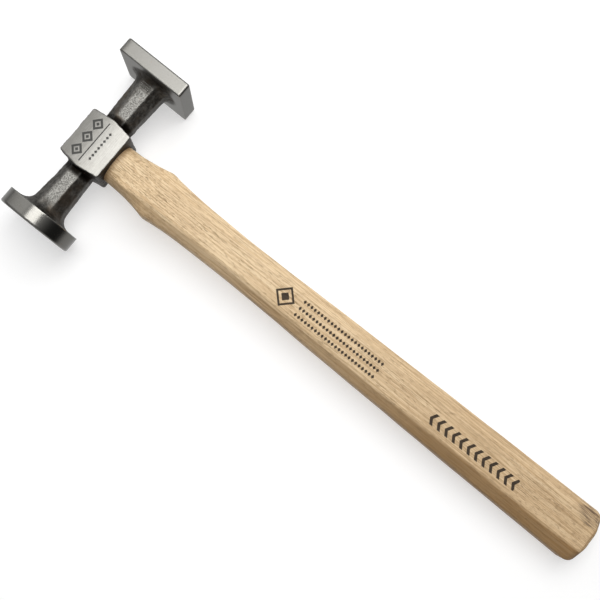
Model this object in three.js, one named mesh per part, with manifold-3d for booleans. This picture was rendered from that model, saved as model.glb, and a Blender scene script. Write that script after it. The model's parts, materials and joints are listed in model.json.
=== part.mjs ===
// A planishing hammer: one forged steel head with a square and a round flat face, hung on a
// hickory handle that is spread in the eye by a wooden wedge and a round steel wedge.
// Millimetres. In the tool's own frame +X runs along the handle from the head to the butt,
// +Y along the head towards the square face, and the origin is the centre of the eye.
// The whole tool is then laid on its side, so that the round face's rim and the butt touch Z = 0.
import * as THREE from 'three';
import { mergeVertices } from 'three/addons/utils/BufferGeometryUtils.js';
import Module from 'manifold-3d';

// head
const HEAD_LENGTH = 101;
const SQUARE_SIDE = 38;
const SQUARE_THICKNESS = 8;
const SQUARE_CORNER_RADIUS = 1.4;
const ROUND_DIAMETER = 40;
const ROUND_THICKNESS = 8.5;
const FACE_EDGE_BEVEL = 0.8;
const BACK_EDGE_BEVEL = 0.3;

// necks: octagonal, across flats, flaring out into the two faces
const NECK_WIDTH_AT_EYE = 14.8;
const NECK_WIDTH_AT_FACE = 16.8;
const NECK_SIDES = 8;
const FLARE_WIDTH = 26.4;
const FLARE_HEIGHT = 8.5;
const NECK_ROOT_WIDTH = 17;
const NECK_ROOT_HEIGHT = 2.6;

// eye block: its ends and cheeks slope away from the middle by the forging's draft
const BLOCK_WIDTH = 23.4;
const BLOCK_END_LENGTH = 26;
const BLOCK_MIDDLE_LENGTH = 29.4;
const BLOCK_EDGE_THICKNESS = 23.4;
const BLOCK_MIDDLE_THICKNESS = 25;
const BLOCK_CORNER_RADIUS = 1.5;

// eye: an oval hole along the handle, narrowest in the throat
const EYE_LENGTH_AT_MOUTH = 21.2;
const EYE_LENGTH_AT_THROAT = 20;
const EYE_LENGTH_AT_TOP = 22.6;
const EYE_THROAT_X = 3;
const EYE_OVALITY = 0.74;
const EYE_MOUTH_CHAMFER = 0.6;

// handle
const BUTT_X = 310.3;
const TENON_PROUD = 0.6;
const BUTT_CORNER_RADIUS = 5.5;
const BUTT_EDGE_RADIUS = 2.5;
const TENON_CHAMFER = 2;
const GRIP_ROUNDNESS = 22;
const GRIP_CHAMFER_DEPTH = 4.6;
// half width, half thickness and the width of the corner chamfer, along the handle
const GRIP_STATIONS = [
  { x: 26, width: 11.3, thickness: 8.7, chamfer: 3.4 },
  { x: 33.5, width: 12.5, thickness: 9.7, chamfer: 5.4 },
  { x: 38, width: 13.35, thickness: 10.3, chamfer: 6.6 },
  { x: 43, width: 12.8, thickness: 10.15, chamfer: 6 },
  { x: 55, width: 11.9, thickness: 9.8, chamfer: 5 },
  { x: 80, width: 11.35, thickness: 9.5, chamfer: 4.8 },
  { x: 155, width: 12.5, thickness: 9.9, chamfer: 5.4 },
  { x: 230, width: 13.8, thickness: 10.4, chamfer: 6 },
  { x: BUTT_X, width: 14.75, thickness: 10.8, chamfer: 6.4 },
];

// wedges
const FIT_GAP = 0.3;
const WOODEN_WEDGE_THICKNESS = 3;
const WOODEN_WEDGE_TIP = 0.9;
const WOODEN_WEDGE_DEPTH = 17;
const RING_DIAMETER = 10.4;
const RING_TIP_DIAMETER = 9.6;
const RING_WALL = 1.4;
const RING_TIP_WALL = 0.3;
const RING_DEPTH = 10;

// fineness of the curved surfaces
const LATHE_SEGMENTS = 64;
const OVAL_SEGMENTS = 48;
const HANDLE_SIDES = 48;
const GRIP_ROWS = 44;
const ARC_STEPS = 6;
const CORNER_STEPS = 3;
const BEVEL_STEPS = 2;
const WELD_DISTANCE = 1e-4;

// how far a joined or cutting shape runs past the surface that it meets
const OVERRUN = 1;

const BLOCK_HALF_WIDTH = BLOCK_WIDTH / 2;
const TENON_TOP_X = -BLOCK_HALF_WIDTH - TENON_PROUD;

const wasm = await Module();
wasm.setup();

// A closed geometry as a solid that can be joined and cut.
function solid(geometry) {
  const bare = geometry.clone();
  bare.deleteAttribute('normal');
  bare.deleteAttribute('uv');
  const welded = mergeVertices(bare, WELD_DISTANCE);
  const triangles = [];
  for (let i = 0; i < welded.index.count; i += 3) {
    const [a, b, c] = [0, 1, 2].map((k) => welded.index.getX(i + k));
    if (a !== b && b !== c && c !== a) {
      triangles.push(a, b, c);
    }
  }
  return new wasm.Manifold(new wasm.Mesh({
    numProp: 3,
    vertProperties: new Float32Array(welded.attributes.position.array),
    triVerts: new Uint32Array(triangles),
  }));
}

// A solid as a named mesh with its own material.
function namedMesh(name, shape, look) {
  const { vertProperties, triVerts } = shape.getMesh();
  const geometry = new THREE.BufferGeometry();
  geometry.setAttribute('position', new THREE.BufferAttribute(vertProperties, 3));
  geometry.setIndex(new THREE.BufferAttribute(triVerts, 1));
  geometry.computeVertexNormals();
  const mesh = new THREE.Mesh(geometry, new THREE.MeshStandardMaterial(look));
  mesh.name = name;
  return mesh;
}

// Moves every vertex of a geometry to where place(vertex) puts it.
function reshape(geometry, place) {
  const position = geometry.attributes.position;
  const vertex = new THREE.Vector3();
  for (let i = 0; i < position.count; i += 1) {
    vertex.fromBufferAttribute(position, i);
    place(vertex);
    position.setXYZ(i, vertex.x, vertex.y, vertex.z);
  }
  return geometry;
}

// How far a regular polygon reaches at an angle, for a half width across its flats of 1.
function polygonReach(angle, sides) {
  const sector = (2 * Math.PI) / sides;
  const fromFlat = angle - sector * Math.round(angle / sector);
  return 1 / Math.cos(fromFlat);
}

// Points of a hollow quarter ellipse that leads from (x0, y0), along Y, to (x1, y1).
function hollowCurve(x0, y0, x1, y1) {
  return Array.from({ length: ARC_STEPS + 1 }, (_, i) => {
    const angle = (i / ARC_STEPS) * (Math.PI / 2);
    return new THREE.Vector2(x0 + (x1 - x0) * (1 - Math.cos(angle)), y0 + (y1 - y0) * Math.sin(angle));
  });
}

// The profile of one neck, from inside the eye block out to the flat back of a face.
function neckProfile(backY) {
  const rootY = BLOCK_MIDDLE_LENGTH / 2 - OVERRUN;
  const neckStartY = rootY + NECK_ROOT_HEIGHT;
  const root = hollowCurve(NECK_WIDTH_AT_EYE / 2, neckStartY, NECK_ROOT_WIDTH / 2, rootY).reverse();
  const flare = hollowCurve(NECK_WIDTH_AT_FACE / 2, backY - FLARE_HEIGHT, FLARE_WIDTH / 2, backY);
  return [new THREE.Vector2(NECK_ROOT_WIDTH / 2, 0), ...root, ...flare];
}

// A neck is octagonal along its length and round where it meets the face.
function neck(backY) {
  const inside = new THREE.Vector2(FLARE_WIDTH / 2, backY + OVERRUN);
  const axisEnds = [new THREE.Vector2(0, 0), new THREE.Vector2(0, backY + OVERRUN)];
  const profile = [axisEnds[0], ...neckProfile(backY), inside, axisEnds[1]];
  const geometry = new THREE.LatheGeometry(profile, LATHE_SEGMENTS);
  return solid(reshape(geometry, (vertex) => {
    const angle = Math.atan2(vertex.z, vertex.x);
    const flared = THREE.MathUtils.smoothstep(vertex.y, backY - FLARE_HEIGHT, backY);
    const reach = THREE.MathUtils.lerp(polygonReach(angle, NECK_SIDES), 1, flared);
    vertex.x *= reach;
    vertex.z *= reach;
  }));
}

// The round face: a thick disc with a bevelled striking edge.
function roundFace() {
  const radius = ROUND_DIAMETER / 2;
  const profile = [
    new THREE.Vector2(0, 0),
    new THREE.Vector2(radius - BACK_EDGE_BEVEL, 0),
    new THREE.Vector2(radius, BACK_EDGE_BEVEL),
    new THREE.Vector2(radius, ROUND_THICKNESS - FACE_EDGE_BEVEL),
    new THREE.Vector2(radius - FACE_EDGE_BEVEL, ROUND_THICKNESS),
    new THREE.Vector2(0, ROUND_THICKNESS),
  ];
  return solid(new THREE.LatheGeometry(profile, LATHE_SEGMENTS));
}

// A rectangle about the origin with rounded corners.
function roundedRectangle(width, height, radius) {
  const [x, y] = [width / 2, height / 2];
  const shape = new THREE.Shape();
  shape.absarc(x - radius, y - radius, radius, 0, Math.PI / 2);
  shape.absarc(radius - x, y - radius, radius, Math.PI / 2, Math.PI);
  shape.absarc(radius - x, radius - y, radius, Math.PI, 1.5 * Math.PI);
  shape.absarc(x - radius, radius - y, radius, 1.5 * Math.PI, 2 * Math.PI);
  shape.closePath();
  return shape;
}

// The square face: a thick plate with rounded corners and bevelled striking edges.
function squareFace() {
  const inset = SQUARE_SIDE - 2 * FACE_EDGE_BEVEL;
  const outline = roundedRectangle(inset, inset, SQUARE_CORNER_RADIUS - FACE_EDGE_BEVEL);
  const geometry = new THREE.ExtrudeGeometry(outline, {
    depth: SQUARE_THICKNESS - 2 * FACE_EDGE_BEVEL,
    bevelThickness: FACE_EDGE_BEVEL,
    bevelSize: FACE_EDGE_BEVEL,
    bevelSegments: BEVEL_STEPS,
    curveSegments: CORNER_STEPS,
  });
  geometry.rotateX(-Math.PI / 2);
  geometry.translate(0, HEAD_LENGTH / 2 - SQUARE_THICKNESS + FACE_EDGE_BEVEL, 0);
  return solid(geometry);
}

// The eye block's outline seen from the cheek: longest in the middle.
function blockPlan() {
  const endY = BLOCK_END_LENGTH / 2;
  const middleY = BLOCK_MIDDLE_LENGTH / 2;
  const cornerX = BLOCK_HALF_WIDTH - BLOCK_CORNER_RADIUS;
  const shape = new THREE.Shape();
  shape.moveTo(0, -middleY);
  shape.lineTo(cornerX, -endY);
  shape.quadraticCurveTo(BLOCK_HALF_WIDTH, -endY, BLOCK_HALF_WIDTH, BLOCK_CORNER_RADIUS - endY);
  shape.lineTo(BLOCK_HALF_WIDTH, endY - BLOCK_CORNER_RADIUS);
  shape.quadraticCurveTo(BLOCK_HALF_WIDTH, endY, cornerX, endY);
  shape.lineTo(0, middleY);
  shape.lineTo(-cornerX, endY);
  shape.quadraticCurveTo(-BLOCK_HALF_WIDTH, endY, -BLOCK_HALF_WIDTH, endY - BLOCK_CORNER_RADIUS);
  shape.lineTo(-BLOCK_HALF_WIDTH, BLOCK_CORNER_RADIUS - endY);
  shape.quadraticCurveTo(-BLOCK_HALF_WIDTH, -endY, -cornerX, -endY);
  shape.closePath();
  return shape;
}

// The eye block's section seen along the head: thickest in the middle of its crowned cheeks.
function blockSection() {
  const edge = BLOCK_EDGE_THICKNESS / 2;
  const crown = BLOCK_MIDDLE_THICKNESS - edge;
  const shape = new THREE.Shape();
  shape.moveTo(-BLOCK_HALF_WIDTH, -edge);
  shape.quadraticCurveTo(0, -crown, BLOCK_HALF_WIDTH, -edge);
  shape.lineTo(BLOCK_HALF_WIDTH, edge);
  shape.quadraticCurveTo(0, crown, -BLOCK_HALF_WIDTH, edge);
  shape.closePath();
  return shape;
}

// An outline extruded by a depth, half to each side of its own plane.
function centredExtrusion(shape, depth) {
  const geometry = new THREE.ExtrudeGeometry(shape, { depth, bevelEnabled: false, curveSegments: ARC_STEPS });
  geometry.translate(0, 0, -depth / 2);
  return geometry;
}

function eyeBlock() {
  const plan = solid(centredExtrusion(blockPlan(), 2 * BLOCK_MIDDLE_THICKNESS));
  const section = centredExtrusion(blockSection(), 2 * BLOCK_MIDDLE_LENGTH).rotateX(-Math.PI / 2);
  return plan.intersect(solid(section));
}

// The eye's half length at a place along the handle; its half width is EYE_OVALITY of that.
function eyeHalfLength(x) {
  if (x > EYE_THROAT_X) {
    const along = Math.min((x - EYE_THROAT_X) / (BLOCK_HALF_WIDTH - EYE_THROAT_X), 1);
    return THREE.MathUtils.lerp(EYE_LENGTH_AT_THROAT, EYE_LENGTH_AT_MOUTH, along) / 2;
  }
  const along = (EYE_THROAT_X - x) / (EYE_THROAT_X + BLOCK_HALF_WIDTH);
  return THREE.MathUtils.lerp(EYE_LENGTH_AT_THROAT, EYE_LENGTH_AT_TOP, along) / 2;
}

// The tool that cuts the eye: it runs out past both sides of the block.
function eyeCutter() {
  const chamferX = BLOCK_HALF_WIDTH - EYE_MOUTH_CHAMFER;
  const topX = -BLOCK_HALF_WIDTH - OVERRUN;
  const mouthX = BLOCK_HALF_WIDTH + OVERRUN;
  const profile = [
    new THREE.Vector2(0, topX),
    new THREE.Vector2(eyeHalfLength(topX), topX),
    new THREE.Vector2(eyeHalfLength(EYE_THROAT_X), EYE_THROAT_X),
    new THREE.Vector2(eyeHalfLength(chamferX), chamferX),
    new THREE.Vector2(eyeHalfLength(chamferX) + EYE_MOUTH_CHAMFER + OVERRUN, mouthX),
    new THREE.Vector2(0, mouthX),
  ];
  const geometry = new THREE.LatheGeometry(profile, OVAL_SEGMENTS);
  geometry.rotateZ(-Math.PI / 2);
  geometry.scale(1, 1, EYE_OVALITY);
  return solid(geometry);
}

function hammerHead() {
  const upperNeck = neck(HEAD_LENGTH / 2 - SQUARE_THICKNESS);
  const roundBackY = HEAD_LENGTH / 2 - ROUND_THICKNESS;
  const lowerHalf = neck(roundBackY).add(roundFace().translate([0, roundBackY, 0])).rotate([180, 0, 0]);
  return eyeBlock().add(upperNeck).add(lowerHalf).add(squareFace()).subtract(eyeCutter());
}

// How far an oval reaches at an angle.
function ovalReach(angle, { width, thickness }) {
  return 1 / Math.hypot(Math.cos(angle) / width, Math.sin(angle) / thickness);
}

// How far a rectangle with chamfered corners and slightly softened edges reaches at an angle.
function chamferedReach(angle, { width, thickness, chamfer }) {
  const y = Math.abs(Math.cos(angle));
  const z = Math.abs(Math.sin(angle));
  const corner = GRIP_CHAMFER_DEPTH * (width - chamfer) + chamfer * thickness;
  const terms = [y / width, z / thickness, (GRIP_CHAMFER_DEPTH * y + chamfer * z) / corner];
  const sum = terms.reduce((total, term) => total + term ** GRIP_ROUNDNESS, 0);
  return sum ** (-1 / GRIP_ROUNDNESS);
}

// The handle is oval in the eye and turns into the chamfered rectangle as squareness goes to 1.
function sectionReach(angle, station) {
  return THREE.MathUtils.lerp(ovalReach(angle, station), chamferedReach(angle, station), station.squareness);
}

// The handle's sections inside the eye, a fit gap smaller than the eye itself.
function tenonStations() {
  return [TENON_TOP_X, -BLOCK_HALF_WIDTH, EYE_THROAT_X, BLOCK_HALF_WIDTH].map((x) => ({
    x,
    width: eyeHalfLength(x) - FIT_GAP,
    thickness: EYE_OVALITY * eyeHalfLength(x) - FIT_GAP,
    chamfer: TENON_CHAMFER,
    squareness: 0,
  }));
}

// The grip's sections, on one smooth curve through the driving stations.
function gripStations(mouth) {
  const shapePoints = [mouth, ...GRIP_STATIONS].map((s) => new THREE.Vector3(s.x, s.width, s.thickness));
  const chamferPoints = [mouth, ...GRIP_STATIONS].map((s) => new THREE.Vector3(s.x, s.chamfer, 0));
  const shapeCurve = new THREE.CatmullRomCurve3(shapePoints);
  const chamferCurve = new THREE.CatmullRomCurve3(chamferPoints);
  return Array.from({ length: GRIP_ROWS }, (_, i) => {
    const along = (i + 1) / GRIP_ROWS;
    const shape = shapeCurve.getPoint(along);
    return {
      x: shape.x,
      width: shape.y,
      thickness: shape.z,
      chamfer: chamferCurve.getPoint(along).y,
      squareness: THREE.MathUtils.smoothstep(shape.x, mouth.x, GRIP_STATIONS[0].x),
    };
  }).filter((station) => station.x < BUTT_X - BUTT_CORNER_RADIUS);
}

// The butt: its corners and its edges are rounded by arcs of their own radius.
function buttStations() {
  const inset = (radius, x) => {
    const into = Math.max(x - (BUTT_X - radius), 0);
    return radius - Math.sqrt(radius * radius - into * into);
  };
  return Array.from({ length: ARC_STEPS + 1 }, (_, i) => {
    const angle = (i / ARC_STEPS) * (Math.PI / 2);
    const x = BUTT_X - BUTT_CORNER_RADIUS * (1 - Math.sin(angle));
    const end = GRIP_STATIONS[GRIP_STATIONS.length - 1];
    return {
      x,
      width: end.width - inset(BUTT_CORNER_RADIUS, x),
      thickness: end.thickness - inset(BUTT_EDGE_RADIUS, x),
      chamfer: end.chamfer,
      squareness: 1,
    };
  });
}

// The handle's outer shape: a cylinder whose rows are set to the handle's sections.
function handleBlank() {
  const tenon = tenonStations();
  const grip = gripStations(tenon[tenon.length - 1]);
  const stations = [...tenon, ...grip, ...buttStations()];
  const rows = stations.length - 1;
  const geometry = new THREE.CylinderGeometry(1, 1, 1, HANDLE_SIDES, rows);
  return solid(reshape(geometry, (vertex) => {
    const station = stations[Math.round((vertex.y + 0.5) * rows)];
    const angle = Math.atan2(vertex.x, vertex.z);
    const reach = Math.hypot(vertex.x, vertex.z) * sectionReach(angle, station);
    vertex.set(station.x, reach * Math.cos(angle), reach * Math.sin(angle));
  }));
}

// The wooden wedge before its ends are shaped to the eye; the kerf is the same shape, grown.
function wedgePrism(grow) {
  const top = WOODEN_WEDGE_THICKNESS / 2 + grow;
  const tip = WOODEN_WEDGE_TIP / 2 + grow;
  const tipX = TENON_TOP_X + WOODEN_WEDGE_DEPTH + grow;
  const startX = grow > 0 ? TENON_TOP_X - OVERRUN : TENON_TOP_X;
  const shape = new THREE.Shape();
  shape.moveTo(startX, -top);
  shape.lineTo(tipX, -tip);
  shape.lineTo(tipX, tip);
  shape.lineTo(startX, top);
  shape.closePath();
  return solid(centredExtrusion(shape, 2 * EYE_LENGTH_AT_TOP).rotateX(-Math.PI / 2));
}

// The round wedge: a tapered ring with its sharp end in the wood. Grown, it is its own groove.
function ringWedge(grow) {
  const startX = grow > 0 ? TENON_TOP_X - OVERRUN : TENON_TOP_X;
  const tipX = TENON_TOP_X + RING_DEPTH + grow;
  const profile = [
    new THREE.Vector2(RING_DIAMETER / 2 - RING_WALL - grow, startX),
    new THREE.Vector2(RING_DIAMETER / 2 + grow, startX),
    new THREE.Vector2(RING_TIP_DIAMETER / 2 + grow, tipX),
    new THREE.Vector2(RING_TIP_DIAMETER / 2 - RING_TIP_WALL - grow, tipX),
    new THREE.Vector2(RING_DIAMETER / 2 - RING_WALL - grow, startX),
  ];
  return solid(new THREE.LatheGeometry(profile, OVAL_SEGMENTS).rotateZ(-Math.PI / 2));
}

// The lie angle at which the butt's lower edge reaches as low as the round face's rim.
function lieAngle() {
  const edge = GRIP_STATIONS[GRIP_STATIONS.length - 1];
  const arcX = BUTT_X - BUTT_EDGE_RADIUS;
  const arcZ = edge.thickness - BUTT_EDGE_RADIUS;
  return Math.asin((ROUND_DIAMETER / 2 - BUTT_EDGE_RADIUS) / Math.hypot(arcX, arcZ)) - Math.atan2(arcZ, arcX);
}

const blank = handleBlank();
const ringGroove = ringWedge(FIT_GAP);
const handle = blank.subtract(wedgePrism(FIT_GAP)).subtract(ringGroove);
const woodenWedge = blank.intersect(wedgePrism(0)).subtract(ringGroove);

const hammer = new THREE.Group();
hammer.add(namedMesh('hammer_head', hammerHead(), { color: 0x8b8a84, roughness: 0.45, metalness: 1 }));
hammer.add(namedMesh('handle', handle, { color: 0xd9b98c, roughness: 0.6, metalness: 0 }));
hammer.add(namedMesh('wooden_wedge', woodenWedge, { color: 0xb58a5c, roughness: 0.65, metalness: 0 }));
hammer.add(namedMesh('ring_wedge', ringWedge(0), { color: 0x9a9a98, roughness: 0.4, metalness: 1 }));
hammer.rotation.y = lieAngle();

// The frame's origin is the middle of the bounding box, on the surface that the tool lies on.
const group = new THREE.Group();
group.add(hammer);
group.updateMatrixWorld(true);
const box = new THREE.Box3().setFromObject(group, true);
const middle = box.getCenter(new THREE.Vector3());
hammer.position.set(-middle.x, -middle.y, -box.min.z);

export default group;
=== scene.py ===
# A planishing hammer lying on its side: a forged and ground steel head on a hickory handle, with
# the wooden wedge and the ring wedge that hold it. Shapes are in millimetres in the tool's own
# frame, as in the CAD model: +X runs along the handle from the head to the butt, +Y along the
# head towards the square face, and the origin is the centre of the eye.
import json
import math

import bpy
import numpy as np
from mathutils import Matrix, Vector, noise


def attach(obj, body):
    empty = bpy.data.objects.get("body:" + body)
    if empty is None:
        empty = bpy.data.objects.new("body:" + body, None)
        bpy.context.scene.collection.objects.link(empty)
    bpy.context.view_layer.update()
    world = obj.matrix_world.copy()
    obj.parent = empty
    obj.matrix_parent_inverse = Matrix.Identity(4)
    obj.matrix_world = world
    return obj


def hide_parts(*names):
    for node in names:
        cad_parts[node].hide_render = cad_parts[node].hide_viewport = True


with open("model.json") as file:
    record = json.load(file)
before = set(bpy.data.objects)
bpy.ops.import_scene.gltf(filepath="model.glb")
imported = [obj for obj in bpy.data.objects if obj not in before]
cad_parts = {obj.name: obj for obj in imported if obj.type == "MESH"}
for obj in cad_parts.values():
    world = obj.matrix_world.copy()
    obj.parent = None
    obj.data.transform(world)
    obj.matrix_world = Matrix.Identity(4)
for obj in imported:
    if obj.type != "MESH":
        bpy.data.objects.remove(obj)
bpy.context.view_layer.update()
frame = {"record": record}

MM = 0.001

# head
HEAD_LENGTH = 101
SQUARE_SIDE = 38
SQUARE_THICKNESS = 8
SQUARE_CORNER_RADIUS = 1.4
ROUND_DIAMETER = 40
ROUND_THICKNESS = 8.5
STRIKING_EDGE_RADIUS = 1.0
BACK_EDGE_RADIUS = 0.25
NECK_WIDTH_AT_EYE = 14.8
NECK_WIDTH_AT_FACE = 16.8
NECK_EDGE_SHARPNESS = 44
SQUARE_FLARE_RADIUS = 5.0
ROUND_FLARE_RADIUS = 6.8
NECK_ROOT_RADIUS = 1.2

# eye block
BLOCK_WIDTH = 23.4
BLOCK_END_LENGTH = 26
BLOCK_MIDDLE_LENGTH = 29.4
BLOCK_EDGE_THICKNESS = 23.4
BLOCK_MIDDLE_THICKNESS = 25
BLOCK_CORNER_RADIUS = 1.1
CHEEK_EDGE_RADIUS = 0.5

# eye
EYE_LENGTH_AT_MOUTH = 21.2
EYE_LENGTH_AT_THROAT = 20
EYE_LENGTH_AT_TOP = 22.6
EYE_THROAT_X = 3
EYE_OVALITY = 0.74
EYE_EDGE_RADIUS = 0.7

# the forging's skin; the inset keeps true curves inside the CAD model's faceted ones
SKIN_INSET = 0.03
HEAD_CELL = 0.46
GRID_MARGIN = 1.5
CELL_CORNERS = 8
RELAX_ROUNDS = 3
RELAX_SHARE = 0.6
SCALE_DEPTH = 0.16
SCALE_SIZE = 2.4
SCALE_OCTAVES = 3
HAMMERED_DEPTH = 0.22
HAMMERED_SIZE = 7.0
HAMMERED_OCTAVES = 2

# where the head is ground; a pair is where a share starts to change and where it stops
CHEEK_FACING = (0.55, 0.85)
CHEEK_MARGIN = 1
CHEEK_DEPTH = 1.5
PLATE_MARGIN = 0.3
FLARE_BAND = (-1, 1.5)
STRIP_START = (18.0, 19.2)
UPPER_STRIP_END = (34.8, 35.8)
LOWER_STRIP_END = (34.0, 37.0)
UPPER_STRIP_X = 0.8
LOWER_STRIP_X = 0.2
STRIP_SIDE = (2.7, 3.2)
STRIP_DEPTH = 1
EDGE_REACH = 0.35
EDGE_TURN = 1.4
HOLLOW_REACH = 1.6
HOLLOW_TURN = 0.4
EYE_WALL_DEPTH = 0.5

# handle
BUTT_X = 310.3
TENON_PROUD = 0.6
TENON_GAP = 0.06
BUTT_CORNER_RADIUS = 5.5
BUTT_EDGE_RADIUS = 2.5
BUTT_DOME = 0.5
TENON_CHAMFER = 2
GRIP_ROUNDNESS = 36
GRIP_CHAMFER_DEPTH = 4.6
GRIP_FROM_X = 26
# half width, half thickness and the width of the corner chamfer, along the handle
GRIP_STATIONS = [
    (26, 11.3, 8.7, 3.4),
    (33.5, 12.5, 9.7, 5.4),
    (38, 13.35, 10.3, 6.6),
    (43, 12.8, 10.15, 6),
    (55, 11.9, 9.8, 5),
    (80, 11.35, 9.5, 4.8),
    (155, 12.5, 9.9, 5.4),
    (230, 13.8, 10.4, 6),
    (BUTT_X, 14.75, 10.8, 6.4),
]
HANDLE_COLUMNS = 160
HANDLE_ROW_STEP = 0.9
FIRST_GRIP_ROW = 0.3
BUTT_ROWS = 10
CAP_RINGS = 12
SANDING_DEPTH = 0.14
SANDING_STRETCH = (0.045, 0.22, 0.22)
SANDING_OCTAVES = 2

# wedges
WEDGE_THICKNESS = 3
WEDGE_TIP = 0.9
WEDGE_DEPTH = 17
WEDGE_PROUD = 0.25
WEDGE_ROWS = 14
WEDGE_COLUMNS = 48
RING_DIAMETER = 10.4
RING_TIP_DIAMETER = 9.6
RING_WALL = 1.4
RING_TIP_WALL = 0.3
RING_DEPTH = 10
RING_PROUD = 0.15
RING_BEVEL = 0.25
BEVEL_BULGE = 0.3
RING_COLUMNS = 72
CUT_GAP = 0.05
OVERRUN = 1.0

# noises: the size of their features in millimetres on each axis, then detail, roughness, distortion
SPECKLE_NOISE = ((0.7, 0.7, 0.7), 3, 0.6)
PIT_NOISE = ((1.7, 2.0, 1.7), 5, 0.65)
PATCH_NOISE = ((8, 11, 8), 3)
BRUSHING_NOISE = ((0.25, 7, 0.4), 2)
MOTTLE_NOISE = ((6, 4, 6), 2)
RUST_SPOT_NOISE = ((0.8, 0.8, 0.8), 2)
RUST_AREA_NOISE = ((7, 7, 7), 1)
SCRATCH_NOISE = ((0.4, 3, 0.4), 3)
DENT_NOISE = ((1.6, 1.6, 1.6), 3)
DRIFT_NOISE = ((150, 9, 12), 2)
WAVER_NOISE = ((30, 2.5, 3), 3)
PORE_NOISE = ((3.2, 0.24, 0.24), 1)
FLECK_NOISE = ((26, 0.42, 0.42), 1)
FLECK_BREAK_NOISE = ((3, 0.5, 0.5), 1)
LONG_FIBRE_NOISE = ((48, 0.42, 0.42), 2)
SHORT_FIBRE_NOISE = ((22, 0.2, 0.2), 1)
TONE_NOISE = ((70, 5, 5), 2)
CHAR_NOISE = ((0.5, 0.5, 0.5), 3)
STREAK_NOISE = ((11, 0.7, 0.7), 3)
RAGGED_NOISE = ((9, 1.1, 1.1), 2)
LINE_NOISE = ((40, 0.8, 0.8), 2, 0.5, 0.4)
FIGURE_NOISE = ((30, 0.9, 0.9), 2, 0.5, 0.6)

# the values of a noise between which a share goes from 0 to 1
EVEN_RANGE = (0.35, 0.65)
BRUSHING_RANGE = (0.3, 0.7)
PATCH_RANGE = (0.5, 0.7)
SPECKLE_RANGE = (0.45, 0.7)
MOTTLE_RANGE = (0.4, 0.7)
RUST_SPOT_RANGE = (0.72, 0.76)
RUST_AREA_RANGE = (0.52, 0.6)
DENT_RANGE = (0.4, 0.7)
PORE_RANGE = (0.62, 0.7)
FLECK_RANGE = (0.6, 0.68)
FLECK_BREAK_RANGE = (0.4, 0.55)
FIBRE_RANGE = (0.44, 0.6)
CHAR_RANGE = (0.1, 0.3)
STREAK_RANGE = (0.36, 0.6)
LINE_RANGE = (0.5, 0.6)
FIGURE_RANGE = (0.47, 0.55)

# colours of the steel
SCALE_DARK = (0.075, 0.071, 0.064)
SCALE_PALE = (0.17, 0.163, 0.15)
SCALE_BROWN = (0.1, 0.08, 0.06)
# the next four colours are painted shade and shadow: in hollows, where the necks meet the block, and on the
# block's wall beside the handle
HOLLOW_PAINTED_SHADE = (0.018, 0.015, 0.012)
SHOULDER_PAINTED_SHADOW = (0.03, 0.024, 0.018)
ROOT_PAINTED_SHADOW = (0.006, 0.005, 0.004)
EYE_WALL_PAINTED_SHADE = (0.03, 0.025, 0.02)
STRIP_DARK = (0.11, 0.107, 0.098)
STRIP_PALE = (0.29, 0.284, 0.265)
GROUND_DARK = (0.21, 0.205, 0.19)
GROUND_PALE = (0.255, 0.25, 0.232)
GROUND_SPECKLED = (0.18, 0.172, 0.155)
GROUND_MOTTLED = (0.2, 0.193, 0.175)
PLATE_DULL = (0.16, 0.157, 0.146)
# painted shade towards the -X end of the square plate's front
PLATE_END_PAINTED_SHADE = (0.05, 0.048, 0.043)
EDGE_WORN = (0.36, 0.35, 0.33)
RUST = (0.22, 0.1, 0.04)
ETCHED = (0.06, 0.06, 0.058)
WEDGE_STEEL_PALE = (0.4, 0.39, 0.37)
WEDGE_STEEL_DARK = (0.2, 0.19, 0.18)

# colours of the wood
HICKORY_PALE = (0.84, 0.65, 0.41)
HICKORY_DEEP = (0.78, 0.585, 0.355)
WEDGE_WOOD_PALE = (0.5, 0.3, 0.16)
WEDGE_WOOD_DEEP = (0.4, 0.24, 0.12)
LATE_WOOD = (0.48, 0.29, 0.135)
FIBRE_BROWN = (0.48, 0.31, 0.155)
PORE_BROWN = (0.33, 0.2, 0.095)
FLECK_BROWN = (0.25, 0.15, 0.07)
# wear and painted shade towards the butt
WORN_AND_SHADED_BROWN = (0.48, 0.32, 0.175)
LINE_BROWN = (0.36, 0.22, 0.1)
# dark grain on the handle's lower side, partly painted shade
FIGURE_AND_SHADE_BROWN = (0.26, 0.145, 0.058)
# painted shade on the handle's lower chamfer
CHAMFER_PAINTED_SHADE = (0.31, 0.178, 0.07)
SMUDGE_BROWN = (0.12, 0.075, 0.045)
# painted shade with a brown tint by the eye's mouth, and painted shade at the butt's end
SHADE_AND_GRIME_BROWN = (0.26, 0.14, 0.055)
# painted shadow in the gap at the eye's mouth
MOUTH_GAP_SHADOW = (0.03, 0.02, 0.012)
BURNED = (0.02, 0.013, 0.009)

# places on the head: where a share is 0, then where it is 1
ON_CHEEK = (16, 15)
ON_RIM = (-41.5, -42)
RIM_POLISH = 0.13
# the next seven places hold painted shadow at the necks' roots and painted shade on the block's wall beside
# the handle
SHOULDER_FROM = (12.2, 13.2)
SHOULDER_TO = (17.4, 16.2)
ROOT_FROM = (13.8, 14.6)
ROOT_TO = (18.6, 17.0)
ROOT_FRONT = (1, 7.3)
EYE_WALL_X = (10.7, 11.2)
EYE_WALL_Y = (11.5, 8)
ON_PLATE = (41, 42)
PLATE_FRONT = (16, 18)
# where the painted shade on the plate's front begins and is full
PLATE_NEAR = (-15, -19)

# places on the handle, in the same way
# where the wear and painted shade towards the butt begin and are full
WORN_AND_SHADED_X = (90, 260)
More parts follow.
